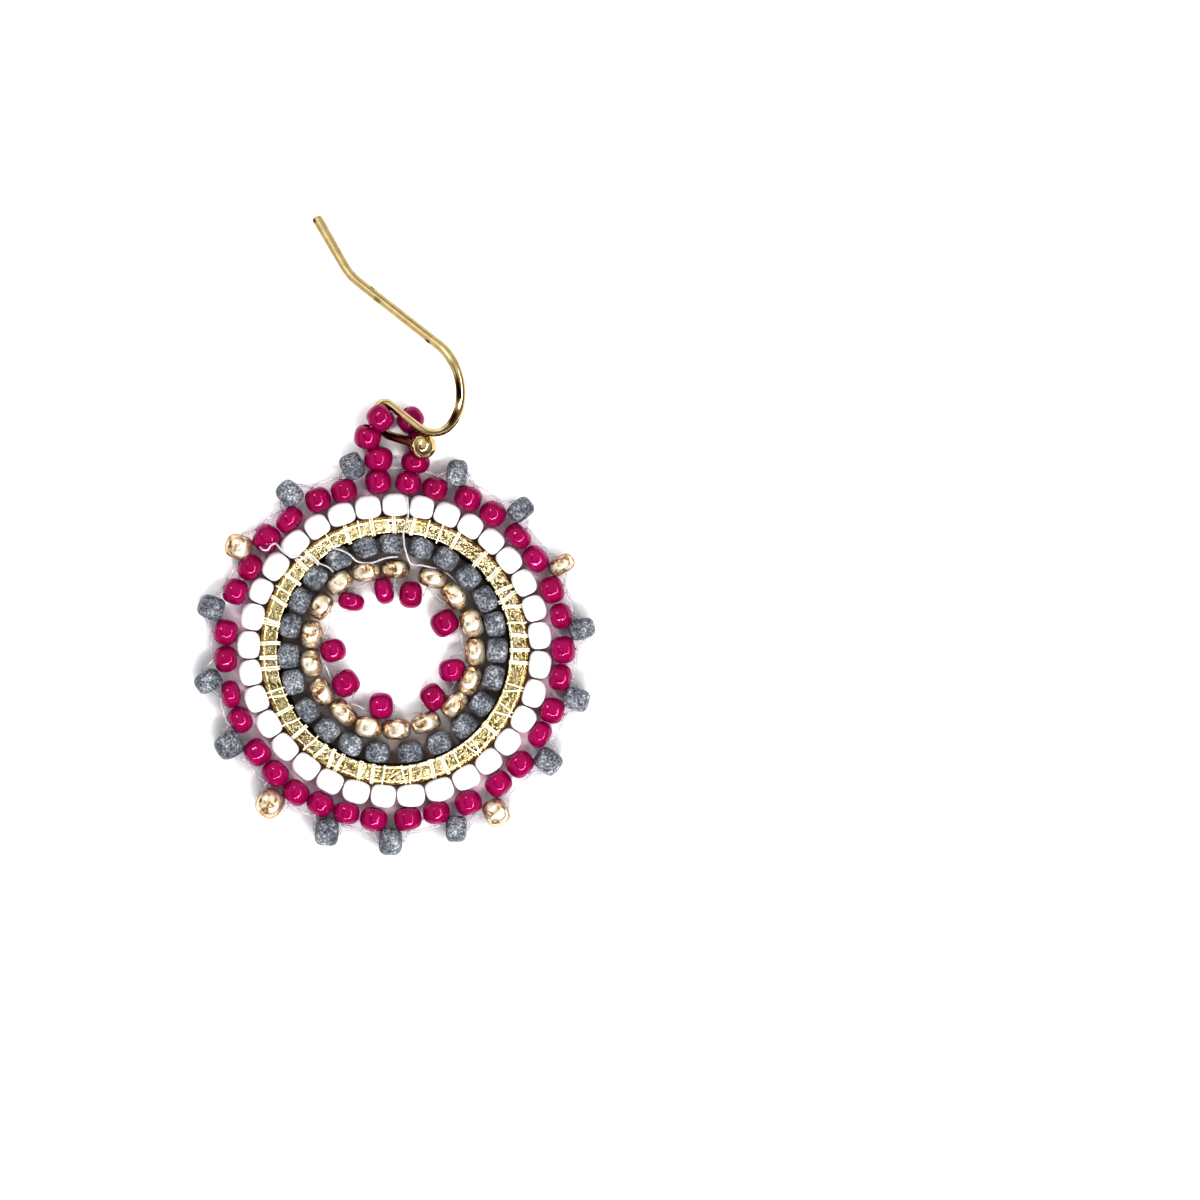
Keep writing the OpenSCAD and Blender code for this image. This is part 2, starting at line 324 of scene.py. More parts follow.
def add_rings(shape, rings, closed=False, tint=0.5):
    """The skin over rings of points, with its ends closed if the line isn't."""
    count, sides, _ = rings.shape
    faces = grid_faces(count, sides, closed, True)
    if not closed:
        faces.append(tuple(range(sides))[::-1])
        faces.append(tuple(range((count - 1) * sides, count * sides)))
    shape.add(rings.reshape(-1, 3), faces, tint)


def add_thread(shape, line, width, flat, closed=False, tint=0.5):
    """A thread along a line, squeezed to the share flat of its width."""
    add_rings(shape, tube_rings(np.array(line, float), width, THREAD_SIDES, flat, closed), closed, tint)


# Materials

# How far above the hoop's centre in plan the ear wire turns satin, and over what length
SATIN_FROM = 21.5
SATIN_OVER = 3.0
# The foil's creases: how much they are drawn out round the hoop, and how much they lean
CREASE_STRETCH = 0.6
CREASE_LEAN = 0.5


def fill(tree, node, inputs):
    """Links a node's inputs to other nodes' outputs, or sets them to numbers, vectors or colours."""
    for key, value in inputs.items():
        socket = node.inputs[key]
        if isinstance(value, bpy.types.NodeSocket):
            tree.links.new(value, socket)
        elif socket.type == "RGBA":
            socket.default_value = (*value, 1.0)
        else:
            socket.default_value = value


def add_node(tree, kind, inputs=(), **settings):
    """A new node with its settings made and its inputs filled."""
    node = tree.nodes.new("ShaderNode" + kind)
    for key, value in settings.items():
        setattr(node, key, value)
    fill(tree, node, dict(inputs))
    return node


def calc(tree, operation, *values):
    return add_node(tree, "Math", enumerate(values), operation=operation).outputs[0]


def vector_calc(tree, operation, *values):
    """The vector that comes out, or the number where the operation gives one."""
    outputs = add_node(tree, "VectorMath", enumerate(values), operation=operation).outputs
    return outputs["Value" if operation in ("LENGTH", "DOT_PRODUCT") else "Vector"]


def map_range(tree, value, low, high, first=0.0, last=1.0, how="LINEAR"):
    """Takes low to high to first to last."""
    inputs = {"Value": value, "From Min": low, "From Max": high, "To Min": first, "To Max": last}
    return add_node(tree, "MapRange", inputs, interpolation_type=how).outputs["Result"]


def split_xyz(tree, vector):
    return add_node(tree, "SeparateXYZ", {"Vector": vector}).outputs


def own_place(tree):
    """The object's own metres, so that a look is the same from every side."""
    return add_node(tree, "TexCoord").outputs["Object"]


def noise_value(tree, scale, detail=4.0, rough=0.55, warp=0.0, place=None):
    """Noise from 0 to 1. Its scale counts to a metre."""
    inputs = {"Scale": scale, "Detail": detail, "Roughness": rough, "Distortion": warp}
    inputs["Vector"] = place or own_place(tree)
    return add_node(tree, "TexNoise", inputs).outputs["Fac"]


def tint_value(tree):
    return add_node(tree, "Attribute", attribute_name="tint").outputs["Fac"]


def ramp(tree, source, stops):
    """The colour of a ramp at a factor. stops are (place, colour), where a lone number is a grey."""
    node = add_node(tree, "ValToRGB", {"Fac": source})
    elements = node.color_ramp.elements
    while len(elements) < len(stops):
        elements.new(0.5)
    for element, (place, colour) in zip(elements, stops):
        element.position = place
        element.color = (*np.broadcast_to(colour, 3), 1.0)
    return node.outputs["Color"]


def mix_colours(tree, factor, first, second, blend="MIX"):
    inputs = {0: factor, 6: first, 7: second}
    return add_node(tree, "Mix", inputs, data_type="RGBA", blend_type=blend).outputs[2]


def multiply(tree, first, second):
    return mix_colours(tree, 1.0, first, second, "MULTIPLY")


def bump(tree, height, strength, depth):
    inputs = {"Strength": strength, "Distance": depth * MM, "Height": height}
    return add_node(tree, "Bump", inputs).outputs["Normal"]


def new_material(name, look):
    """A material whose shader gets the inputs that look makes in its node tree."""
    material = bpy.data.materials.new(name)
    material.use_nodes = True
    tree = material.node_tree
    tree.nodes.clear()
    shader = add_node(tree, "BsdfPrincipled", look(tree))
    add_node(tree, "OutputMaterial", {"Surface": shader.outputs["BSDF"]})
    return material


def magenta_glass(tree):
    """Glossy glass, with its own shade for each bead and slow waves."""
    body = ramp(tree, tint_value(tree), [(0.0, (0.190, 0.0003, 0.053)), (1.0, (0.234, 0.0005, 0.076))])
    cloud = ramp(tree, noise_value(tree, 900.0), [(0.35, 0.86), (0.7, 1.06)])
    waves = noise_value(tree, 1300.0, detail=2.0, rough=0.45)
    return {
        "Base Color": multiply(tree, body, cloud),
        "Normal": bump(tree, waves, strength=0.6, depth=0.12),
        "Roughness": 0.025,
        "Specular IOR Level": 0.65,
        "Specular Tint": (1.0, 0.34, 0.56),
    }


def white_glass(tree):
    """Semi-matte white glass, slightly clouded."""
    cloud = noise_value(tree, 700.0)
    waves = noise_value(tree, 1500.0, detail=2.0, rough=0.4)
    return {
        "Base Color": ramp(tree, cloud, [(0.3, (0.68, 0.675, 0.68)), (0.7, (0.72, 0.715, 0.72))]),
        "Normal": bump(tree, waves, strength=0.2, depth=0.04),
        "Roughness": 0.28,
    }


def slate_glass(tree):
    """Etched glass: a dark body with paler flecks in drifting patches, partly the glass's own flecks and
    partly painted highlights.
    """
    grain = noise_value(tree, 5200.0, detail=5.0, rough=0.66)
    body = ramp(tree, grain, [
        (0.37, (0.047, 0.051, 0.063)), (0.49, (0.112, 0.117, 0.130)), (0.58, (0.23, 0.24, 0.255)),
        (0.67, (0.37, 0.38, 0.39)),
    ])
    # The paler patches are partly painted highlights, standing in for the glass's sheen
    fleck_drifts_and_sheen = ramp(tree, noise_value(tree, 900.0, detail=3.0), [
        (0.36, (0.58, 0.59, 0.63)), (0.50, (0.95, 0.95, 0.96)), (0.64, (1.55, 1.54, 1.52)),
    ])
    return {
        "Base Color": multiply(tree, body, fleck_drifts_and_sheen),
        "Normal": bump(tree, grain, strength=0.6, depth=0.08),
        "Roughness": 0.38,
        "Specular IOR Level": 0.28,
    }


def galvanised_gold(tree):
    """A pearly metal skin on glass, with brown swirls painted into its colour as dark reflections, and a
    brown edge tint.
    """
    colour_noise = noise_value(tree, 960.0, detail=1.5, rough=0.45, warp=1.3)
    dents = noise_value(tree, 800.0, detail=1.5, rough=0.4)
    return {
        # The thin brown swirls in the colour are painted dark reflections in the metal
        "Base Color": ramp(tree, colour_noise, [
            (0.33, (0.58, 0.48, 0.36)), (0.365, (0.30, 0.19, 0.10)), (0.385, (0.14, 0.07, 0.03)),
            (0.405, (0.36, 0.24, 0.14)), (0.445, (0.55, 0.45, 0.33)), (0.57, (0.65, 0.59, 0.49)),
        ]),
        "Normal": bump(tree, dents, strength=0.8, depth=0.24),
        "Metallic": 0.8,
        "Roughness": 0.27,
        "Specular Tint": (0.55, 0.24, 0.12),
    }


def foil_gold(tree):
    """Crumpled foil. A tint near 0.7 is the foil, 1 its bright rim, a painted highlight, and 0.4 its brown
    edge, painted shade on the hoop's sloping sides.
    """
    # Creases run along the hoop and a little across it
    centred = vector_calc(tree, "SUBTRACT", own_place(tree), tuple(HOOP_CENTRE * MM))
    xyz = split_xyz(tree, centred)
    turn = calc(tree, "ARCTAN2", xyz["Y"], xyz["X"])
    round_hoop = calc(tree, "MULTIPLY", turn, HOOP_OUTER_R * MM * CREASE_STRETCH)
    leaning = calc(tree, "MULTIPLY_ADD", round_hoop, CREASE_LEAN, vector_calc(tree, "LENGTH", centred))
    place = add_node(tree, "CombineXYZ", {"X": round_hoop, "Y": leaning, "Z": xyz["Z"]}).outputs["Vector"]
    creases = noise_value(tree, 3100.0, rough=0.6, warp=0.9, place=place)
    # The creases' colour is painted light and shade: bright streaks are painted glints and the dark lines
    # painted shade in the folds
    crease_light_and_shade = ramp(tree, creases, [
        (0.37, (0.92, 0.85, 0.62)), (0.41, (0.33, 0.25, 0.08)), (0.44, (0.09, 0.05, 0.01)),
        (0.475, (0.19, 0.13, 0.03)), (0.505, (0.45, 0.36, 0.14)), (0.53, (0.98, 0.92, 0.70)),
        (0.555, (0.95, 0.89, 0.67)), (0.58, (0.33, 0.25, 0.08)), (0.63, (0.88, 0.80, 0.56)),
    ])
    # Calmer patches are nearly plain tan
    amount = ramp(tree, noise_value(tree, 330.0, detail=1.0, rough=0.5), [(0.38, 0.55), (0.48, 1.0)])
    body = mix_colours(tree, amount, (0.45, 0.37, 0.16), crease_light_and_shade)
    # By the tint, the rims get a painted highlight and the sloping sides painted shade
    edge = ramp(tree, tint_value(tree), [
        (0.4, (0.60, 0.43, 0.28)), (0.6, (0.52, 0.50, 0.46)), (0.8, (0.95, 0.97, 1.08)),
        (1.0, (1.3, 1.32, 1.45)),
    ])
    return {
        "Base Color": multiply(tree, body, edge),
        "Normal": bump(tree, creases, strength=0.9, depth=0.08),
        "Metallic": 0.85,
        "Roughness": 0.26,
    }


def polished_gold(tree):
    """The ear wire's gold: satin on the leg and the tip, polished below. A tint of 0 is the darkest painted
    reflection and shade.
    """
    colour_noise = noise_value(tree, 1200.0, detail=5.0, rough=0.6)
    body = ramp(tree, colour_noise, [(0.30, (0.43, 0.345, 0.195)), (0.70, (0.54, 0.45, 0.27))])
    # Dark reflections and shade are painted into the colour where the tint is low
    painted_darks = ramp(tree, tint_value(tree), [
        (0.0, (0.035, 0.008, 0.008)), (0.5, (0.42, 0.25, 0.18)), (0.85, (0.70, 0.68, 0.62)), (1.0, 1.0),
    ])
    low, high = ((HOOP_CENTRE[1] + level) * MM for level in (SATIN_FROM, SATIN_FROM + SATIN_OVER))
    fine = noise_value(tree, 3500.0, detail=3.0, rough=0.6)
    return {
        "Base Color": multiply(tree, body, painted_darks),
        "Normal": bump(tree, fine, strength=0.12, depth=0.04),
        "Metallic": 1.0,
        "Roughness": map_range(tree, split_xyz(tree, own_place(tree))["Y"], low, high, 0.09, 0.46),
    }


def thread_material(name, thin, thick, clear):
    """Nylon thread, cloudy between two colours and clear to a share."""
    def look(tree):
        cloud = noise_value(tree, 2200.0, detail=2.0, rough=0.5)
        return {
            "Base Color": ramp(tree, cloud, [(0.3, thin), (0.7, thick)]),
            "Roughness": 0.2,
            "IOR": 1.5,
            "Transmission Weight": clear,
        }

    return new_material(name, look)


MATERIALS = {
    "magenta": new_material("magenta_glass", magenta_glass),
    "white": new_material("white_glass", white_glass),
    "slate": new_material("slate_glass", slate_glass),
    "gold": new_material("galvanised_gold", galvanised_gold),
    "foil": new_material("foil_gold", foil_gold),
    "wire": new_material("polished_gold", polished_gold),
    "thread": thread_material("clear_thread", (0.64, 0.59, 0.64), (0.84, 0.80, 0.84), 0.72),
    "strand": thread_material("loose_strand", (0.46, 0.43, 0.45), (0.66, 0.63, 0.65), 0.45),
    "wrap": thread_material("flat_thread", (0.70, 0.63, 0.47), (0.84, 0.78, 0.64), 0.15),
}
SLOTS = {
    "magenta": "bead_magenta", "white": "bead_white", "slate": "bead_slate", "gold": "bead_gold",
    "foil": "foil_gold", "wire": "wire_gold", "thread": "thread", "strand": "thread", "wrap": "thread",
}


def build(shape, name, kind, replaced=()):
    shape.build(name, MATERIALS[kind], SLOTS[kind], replaced)


# The rows of beads

def white_row():
    rng = random.Random(11)
    shape = Shape()
    for start, end in zip(WHITE_GAPS, WHITE_GAPS[1:] + [WHITE_GAPS[0] + 360]):
        angle = (start + end) / 2
        x, y = polar(WHITE_RADIUS + rng.uniform(-0.03, 0.03), angle)
        across = min(WHITE_ACROSS, WHITE_FILL * WHITE_RADIUS * math.radians(end - start))
        along = WHITE_ALONG * rng.uniform(0.97, 1.01)
        heading = angle + rng.uniform(-2, 2)
        add_bead(shape, "white", (x, y, MID_Z), heading, rng.uniform(-3, 3), across, along, rng)
    build(shape, "white_beads", "white", ["white_bead_row"])


def magenta_row():
    rng = random.Random(23)
    shape = Shape()
    for angle, radius, across, along in MAGENTA_BEADS:
        x, y = polar(radius, angle)
        heading = angle + rng.uniform(-8, 8)
        add_bead(shape, "magenta", (x, y, MID_Z), heading, rng.uniform(-5, 5), across, along, rng)
    build(shape, "magenta_beads", "magenta", ["magenta_bead_row"])


def slate_row():
    rng = random.Random(37)
    shape = Shape()
    for angle in SLATE_ANGLES:
        x, y = INNER_CENTRE + polar(SLATE_RADIUS + rng.uniform(-0.04, 0.03), angle)
        across = SLATE_ACROSS * rng.uniform(0.96, 1.02)
        along = SLATE_ALONG * rng.uniform(0.97, 1.02)
        heading = angle + rng.uniform(-6, 6)
        add_bead(shape, "slate", (x, y, MID_Z), heading, rng.uniform(-4, 4), across, along, rng)
    build(shape, "slate_beads", "slate", ["slate_bead_row"])


def gold_row():
    rng = random.Random(41)
    shape = Shape()
    for angle, radius, turn, across, along in GOLD_BEADS:
        x, y = INNER_CENTRE + polar(radius, angle)
        add_bead(shape, "gold", (x, y, MID_Z), angle + turn, rng.uniform(-4, 4), across, along, rng)
    build(shape, "gold_beads", "gold", ["gold_bead_row"])


def edge_beads(table, prefix, digits):
    """The beads that stand singly, each in place of its node."""
    rng = random.Random(len(table))
    for n, (angle, radius, turn, across, along, kind) in enumerate(table, 1):
        number = str(n).zfill(digits)
        shape = Shape()
        x, y = polar(radius, angle)
        add_bead(shape, kind, (x, y, MID_Z), angle + turn + 90, rng.uniform(-4, 4), across, along, rng)
        build(shape, f"{prefix}_bead_{number}", kind, [f"{prefix}_picot_{number}"])


def bail_beads():
    """The beads of the loop that hangs from the ear wire, each in place of its node."""
    rng = random.Random(7)
    for n, (x, y, z, heading, rise, across, along) in enumerate(BAIL_BEADS, 1):
        shape = Shape()
        add_bead(shape, "magenta", (x, y, z), heading, rise, across, along, rng, rough=0.5)
        build(shape, f"bail_{n}", "magenta", [f"bail_bead_{n}"])


white_row()
magenta_row()
slate_row()
gold_row()
edge_beads(OUTER_PICOTS, "outer", 2)
edge_beads(INNER_PICOTS, "inner", 1)
bail_beads()


# The hoop, its foil crinkled between the thread wraps

HOOP_STEPS = 900
TOP_STEPS = 20
# The inner rim's bevel across and down, and how much narrower the top is than the hoop
INNER_BEVEL = 0.06
TOP_SHORT = 0.33
# Steps of the top on either side that are bright rim, with a painted highlight, and steps over which the
# creases set in
RIM_STEPS = 2.0
CREASE_STEPS = 4
# How far the foil lies below the rims at the inner side, and how much more at the outer side
FOIL_SUNK = 0.04
FOIL_SLOPE = 0.1
FOIL_TINT = 0.7
# From the foil's top down the outer side: distance in, distance down, how much it crinkles, tint (the brown
# edge's painted shade)
OUTER_BEVEL = [
    (0.22, 0.03, 0.3, 0.5), (0.1, 0.08, 0.3, 0.42), (0.02, 0.16, 0.2, 0.4), (0.0, 0.4, 0.2, 0.4),
]
# Creases in millimetres: their height, how far they may rise, and how many there are to a millimetre
CRINKLE = 0.07
CRINKLE_RISE = 0.02
CRINKLE_FINENESS = 2.9
# Roughness, step from octave to octave, octaves, offset and gain of the folds, and their middle height
FOLDS = (0.9, 2.1, 3, 0.9, 1.8)
FOLD_LEVEL = 0.9
# Keeps the creases of the top and the underside apart
SIDE_SHIFT = 7.0
# The inner rim is wider towards one angle: by how much, and how far out that reaches
RIM_GROWTH = 0.24
RIM_WIDEST_AT = -50
RIM_REACH = 0.5

# Thread wraps across the hoop: angle of the middle, slant from the inner to the outer end, strands
WRAPS = [
    (0.2, 0, 2), (6.9, -1.2, 2), (12.9, -1.6, 1), (20.5, -2.0, 2), (25.2, 1.4, 2), (29.3, -0.8, 2),
    (37.6, 0.6, 2), (46.9, 0, 2), (61.0, 0, 2), (68.8, 0, 1), (74.8, 0, 1), (81.6, -0.8, 2), (90.2, 0.4, 2),
    (100.2, 0, 2), (106.2, -0.6, 1), (112.1, -0.6, 2), (120.6, 0, 1), (131.5, 0.6, 2), (137.1, 0, 2),
    (145.0, 0, 2), (151.5, -0.5, 1), (156.9, -1.2, 2), (166.3, -0.6, 1), (167.7, 0, 2), (176.7, 0.6, 2),
    (182.7, 0, 1), (183.7, -0.2, 1), (188.2, -0.5, 2), (198.5, 0, 1), (201.4, -1.6, 1), (208.7, 0, 2),
    (214.7, -1.5, 1), (220.6, 0, 2), (227.8, -0.8, 1), (233.7, -1.2, 2), (239.6, 1.4, 2), (243.8, -0.4, 2),
    (253.9, 0.8, 2), (260.0, 0.3, 2), (265.0, -0.6, 1), (274.2, 1.4, 1), (277.3, -0.9, 1), (287.7, -0.4, 2),
    (293.8, 0.2, 2), (299.8, -0.6, 1), (307.9, 1.8, 1), (310.6, -0.8, 1), (320.8, 0, 2), (329.6, 1.6, 1),
    (332.9, -1.4, 1), (341.2, 2.4, 1), (343.8, 0, 1), (354.4, 0.2, 2),
]
STRAND_D = 0.15
STRAND_GAP = 0.17
# A wrap's single strand is this much wider
SINGLE_WIDER = 1.15
# How far a strand's middle lies off the metal, as a share of its width
STRAND_LIFT = 0.35
# How far in from the hoop's inner wall a wrap may lean
WRAP_LEANS = (0.0, 0.05, 0.1, 0.16)


def hoop_section():
    """Points round the hoop's section as (radius, height, how much they crinkle, tint)."""
    top = HOOP_TOP - MID_Z
    points = []
    for share in np.linspace(0, 1, TOP_STEPS):
        radius = HOOP_INNER_R + INNER_BEVEL + share * (HOOP_OUTER_R - HOOP_INNER_R - TOP_SHORT)
        edge = min(share, 1 - share) * TOP_STEPS
        amount = min(1.0, edge / CREASE_STEPS)
        # The steps nearest the rims get tint 1, a painted highlight
        if edge > RIM_STEPS:
            points.append((radius, top - (FOIL_SUNK + FOIL_SLOPE * share), amount, FOIL_TINT))
        else:
            points.append((radius, top, amount, 1.0))
    for inward, down, amount, tint in OUTER_BEVEL:
        points.append((HOOP_OUTER_R - inward, top - down, amount, tint))
    below = [(radius, -z, amount, tint) for radius, z, amount, tint in points[::-1]]
    # The inner wall gets the brown edge's painted shade, with a painted highlight on its top edge
    inner = [(HOOP_INNER_R, INNER_BEVEL - top, 0.1, 0.4), (HOOP_INNER_R, top - 0.3, 0.1, 0.4),
             (HOOP_INNER_R, top - INNER_BEVEL, 0.1, 0.8)]
    return points + below + inner


def crinkle(x, y, side):
    """Height of the foil's creases at a place in plan."""
    place = Vector((x * CRINKLE_FINENESS, y * CRINKLE_FINENESS, side * SIDE_SHIFT))
    folds = noise.ridged_multi_fractal(place, *FOLDS) - FOLD_LEVEL
    return 0.6 * folds + 0.5 * noise.noise(place * 2.3)


def foil_lift(angle):
    """Added to the foil's tint: painted light and shade, brighter at the top, and darker at the left and
    lower right.
    """
    across, up = polar(1.0, angle)
    return 0.09 * max(0.0, up - 0.2 * across) - 0.04 * max(0.0, -across) - 0.06 * max(0.0, across - up)


def hoop_piece():
    section = hoop_section()
    points, tints = [], []
    for r, z, amount, tint in section:
        for n in range(HOOP_STEPS):
            angle = n * 360 / HOOP_STEPS
            grown = RIM_GROWTH * max(0.0, math.cos(math.radians(angle - RIM_WIDEST_AT)))
            x, y = polar(r - grown * max(0.0, 1 - (r - HOOP_INNER_R) / RIM_REACH), angle)
            move = CRINKLE * amount * crinkle(x, y, math.copysign(1, z))
            points.append((x, y, MID_Z + z + math.copysign(min(move, CRINKLE_RISE), z)))
            # Painted light and shade by angle on the foil
            tints.append(tint + (foil_lift(angle) if tint == FOIL_TINT else 0.0))
    shape = Shape()
    shape.add(np.array(points), grid_faces(len(section), HOOP_STEPS, True, True), np.array(tints))
    build(shape, "hoop_metal", "foil", ["hoop"])


def wrap_line(angle, slant, shift, lean):
    """Once round the hoop's section, over the top from the outer to the inner rim and back below."""
    grow = STRAND_D * STRAND_LIFT
    outer, inner = HOOP_OUTER_R + grow * 0.6, HOOP_INNER_R - grow
    middle = (outer + inner) / 2
    top, bottom = HOOP_TOP + grow * 0.5, HOOP_BOTTOM - grow * 0.5
    corners = []
    # Radius, height and the share of the slant that is behind it
    for r, z, share in (
        (outer - 0.28, top, 0.0), (middle, top + 0.01, 0.5), (inner + 0.14, top, 1.0),
        (inner - lean * 0.5, top - 0.16, 1.0), (inner - lean, MID_Z + 0.5, 0.9), (inner - lean, MID_Z, 0.7),
        (inner, bottom + 0.16, 0.5), (inner + 0.14, bottom, 0.5), (middle, bottom - 0.01, 0.5),
        (outer - 0.22, bottom, 0.3), (outer - 0.03, bottom + 0.2, 0.2), (outer, MID_Z, 0.1),
        (outer - 0.03, top - 0.2, 0.0),
    ):
        turn = angle + slant * (0.5 - share) + math.degrees(shift / r)
        corners.append((*polar(r, turn), z))
    return catmull(corners + corners[:1], 4)[:-1]


def thread_wraps():
    rng = random.Random(5)
    shape = Shape()
    for angle, slant, strands in WRAPS:
        lean = rng.choice(WRAP_LEANS)
        for k in range(strands):
            shift = (k - (strands - 1) / 2) * STRAND_GAP + rng.uniform(-0.01, 0.01)
            width = STRAND_D * (SINGLE_WIDER if strands == 1 else 1.0)
            line = wrap_line(angle, slant, shift, lean)
            add_thread(shape, line, width, flat=0.8, closed=True, tint=rng.random())
    build(shape, "thread_wraps", "wrap")


# Threads between the beads and the loose ends

THREAD_D = 0.2
LOOSE_D = 0.175
STITCH_D = 0.12
# How much of its width the thread in the opening keeps
INNER_THIN = 0.75
# How far a thread between two holes bows out, and how much less or more it may
BOW = 0.22
BOW_RANGE = (-0.06, 0.14)
# Where a gold bead's hole ends, as a share of its length from its middle
GOLD_HOLE = 0.46
# The bail's thread comes up at this radius, at the first and the last angle, and crosses at the crest
BAIL_FOOT_R = 14.3
BAIL_FEET = (95.5, 85.3)
BAIL_CREST = (-0.1, 18.95, 1.75)
# A stitch that shows between the slate and gold rows: radius and angle from the inner rows' own centre
INNER_STITCH = [(7.35, 62), (7.43, 53), (7.35, 44)]
STITCH_Z = 1.2
# Loose strands as places in plan with a height, from the hoop's centre
LOOSE_STRANDS = [
    [(1.05, 12.3, 1.9), (1.08, 11.5, 2.2), (1.1, 10.8, 2.3), (0.92, 10.1, 2.34), (0.74, 9.46, 2.34),
     (0.76, 8.8, 2.3), (0.88, 8.06, 2.3), (1.34, 6.94, 1.9), (2.27, 6.80, 1.9), (3.34, 6.54, 1.6)],
    [(-10.75, 8.3, 2.3), (-10.5, 8.05, 2.4), (-10.12, 8.05, 2.45), (-9.86, 8.4, 2.45), (-9.5, 8.55, 2.4),
     (-9.22, 8.28, 2.4), (-9.0, 8.0, 2.4), (-8.54, 7.66, 2.4), (-7.59, 7.55, 2.4), (-6.74, 7.38, 2.4),
     (-6.18, 7.04, 2.35), (-5.34, 6.70, 2.2), (-4.9, 6.3, 1.7)],
    [(-4.84, 8.17, 2.3), (-4.2, 8.0, 2.3), (-3.56, 7.66, 2.3), (-2.97, 7.13, 2.1), (-1.90, 7.0, 2.0),
     (-0.65, 7.4, 2.1), (0.3, 7.5, 1.8)],
]


def hole_ends(bead):
    """The two ends of a single bead's hole, first and last in angle."""
    angle, radius, turn, _, along, _ = bead
    middle = polar(radius, angle)
    step = polar(along / 2 + 0.02, angle + turn + 90)
    return middle - step, middle + step


def string_ring(shape, holes, singles, outward, rng):
    """Thread from hole to hole of a row, through the single beads that stand between two of them.

    holes are (angle, place of the hole's end). outward is 1 on a ring's outer side and -1 on its inner side.
    """
    holes = sorted(holes, key=lambda hole: hole[0] % 360)
    for n, (angle, start) in enumerate(holes):
        after, end = holes[(n + 1) % len(holes)]
        span = (after - angle) % 360
        between = [bead for bead in singles if 0 < (bead[0] - angle) % 360 < span]
        first, last = polar(outward, angle), polar(outward, after)
        if between:
            near, far = hole_ends(between[0])
            lines = [(start, start + first * 0.1, near - (far - near) * 0.04, near + (far - near) * 0.1),
                     (end, end + last * 0.1, far + (far - near) * 0.04, far - (far - near) * 0.1)]
        else:
            middle = (start + end) / 2
            bow = (BOW + rng.uniform(*BOW_RANGE)) * (first + last) / 2
            lines = [(
                start - first * 0.2, start + first * 0.12, (start + middle) / 2 + bow * 0.9, middle + bow,
                (middle + end) / 2 + bow * 0.9, end + last * 0.12, end - last * 0.2,
            )]
        for line in lines:
            height = MID_Z + rng.uniform(-0.2, 0.1)
            curve = catmull([(*place, height) for place in line], 6)
            width = THREAD_D * rng.uniform(0.85, 1.1) * (1.0 if outward > 0 else INNER_THIN)
            add_thread(shape, curve, width, flat=0.75, tint=rng.random())


def bead_threads():
    rng = random.Random(19)
    shape = Shape()
    outer_holes = [(angle, polar(radius + along / 2, angle)) for angle, radius, _, along in MAGENTA_BEADS]
    string_ring(shape, outer_holes, OUTER_PICOTS, 1, rng)
    build(shape, "edge_thread", "thread")

    shape = Shape()
    gold_holes = []
    for angle, radius, _, _, along in GOLD_BEADS:
        place = INNER_CENTRE + polar(radius - GOLD_HOLE * along, angle)
        gold_holes.append((math.degrees(math.atan2(place[1], place[0])) % 360, place))
    string_ring(shape, gold_holes, INNER_PICOTS, -1, rng)
    curve = [(*(INNER_CENTRE + polar(radius, angle)), STITCH_Z) for radius, angle in INNER_STITCH]
    add_thread(shape, catmull(curve, 6), STITCH_D, flat=0.8)
    build(shape, "inner_thread", "thread")

    shape = Shape()
    first, last = ((*polar(BAIL_FOOT_R, angle), MID_Z) for angle in BAIL_FEET)
    places = [bead[:3] for bead in BAIL_BEADS]
    route = [first, *places[:3], BAIL_CREST, *places[3:], last]
    add_thread(shape, catmull(route, 8), THREAD_D, flat=0.9)
    for strand in LOOSE_STRANDS:
        add_thread(shape, catmull(strand, 8), LOOSE_D, flat=0.8)
    build(shape, "loose_thread", "strand")


hoop_piece()
thread_wraps()
bead_threads()


# The ear wire

# Its route in its own plane: (length, 0) is a straight and (radius, turn) a bend to the left
WIRE_ROUTE = [
    (4.45, 0), (4.2, -26), (9.45, 0), (3.95, 111.5), (3.15, 68.5), (3.2, 0), (0.95, -98), (1.55, -102),
    (3.5, 0),
]
WIRE_START = (16.45, 0.1, 162.0)
WIRE_FOOT = (-1.64, 18.84)
WIRE_LIE = 106.5
WIRE_TILT = 43
# How far the arch settles, so that its hammered width stays under the height of the round wire
WIRE_SETTLE = 0.99
WIRE_D = 0.72
WIRE_STEP = 0.1
WIRE_SIDES = 40
# How flat the wire is in its own plane
WIRE_FLAT = 0.92
# The cut end is rounded over this length, by this share of its width
CUT_LENGTH = 0.09
CUT_ROUND = 0.16
# The tip is duller by this much, and that fades out by the length DIM_TO, over DIM_OVER
TIP_DIM = 0.05
DIM_TO = 7.5
DIM_OVER = 2.5
# The painted dark reflections and shade reach down to where the wire's skin faces this far below level
PAINTED_DARKS_DOWN_TO = -0.2
BALL_D = 2.1
BALL_SUNK = 0.01
BALL_ROWS = 64
BALL_COLUMNS = 90
# The ball's dents: their height, and how many there are to its radius
BALL_DENTS = 0.03
DENT_FINENESS = 2.6
# The dark crescent painted on the ball as a reflection: how far out it lies and half its width, as shares of
# the radius, its middle and its reach to either side in degrees, and its depth
CRESCENT_OUT = 0.5
CRESCENT_HALF = 0.11
CRESCENT_AT = 225
CRESCENT_REACH = 80
CRESCENT_DEPTH = 0.5
# Distances along the wire and its width there: the arch is hammered a little wider
WIRE_WIDTHS = (
    [0, 4.5, 6.4, 15.8, 17.5, 19.6, 22.0, 24.5, 27.0, 30.5, 33.0, 34.8, 36.0, 38.3],
    [0.86, 0.79, 0.84, 0.88, 0.90, 0.84, 0.88, 0.74, 0.70, 0.70, 0.72, 0.74, 0.78, 0.86])
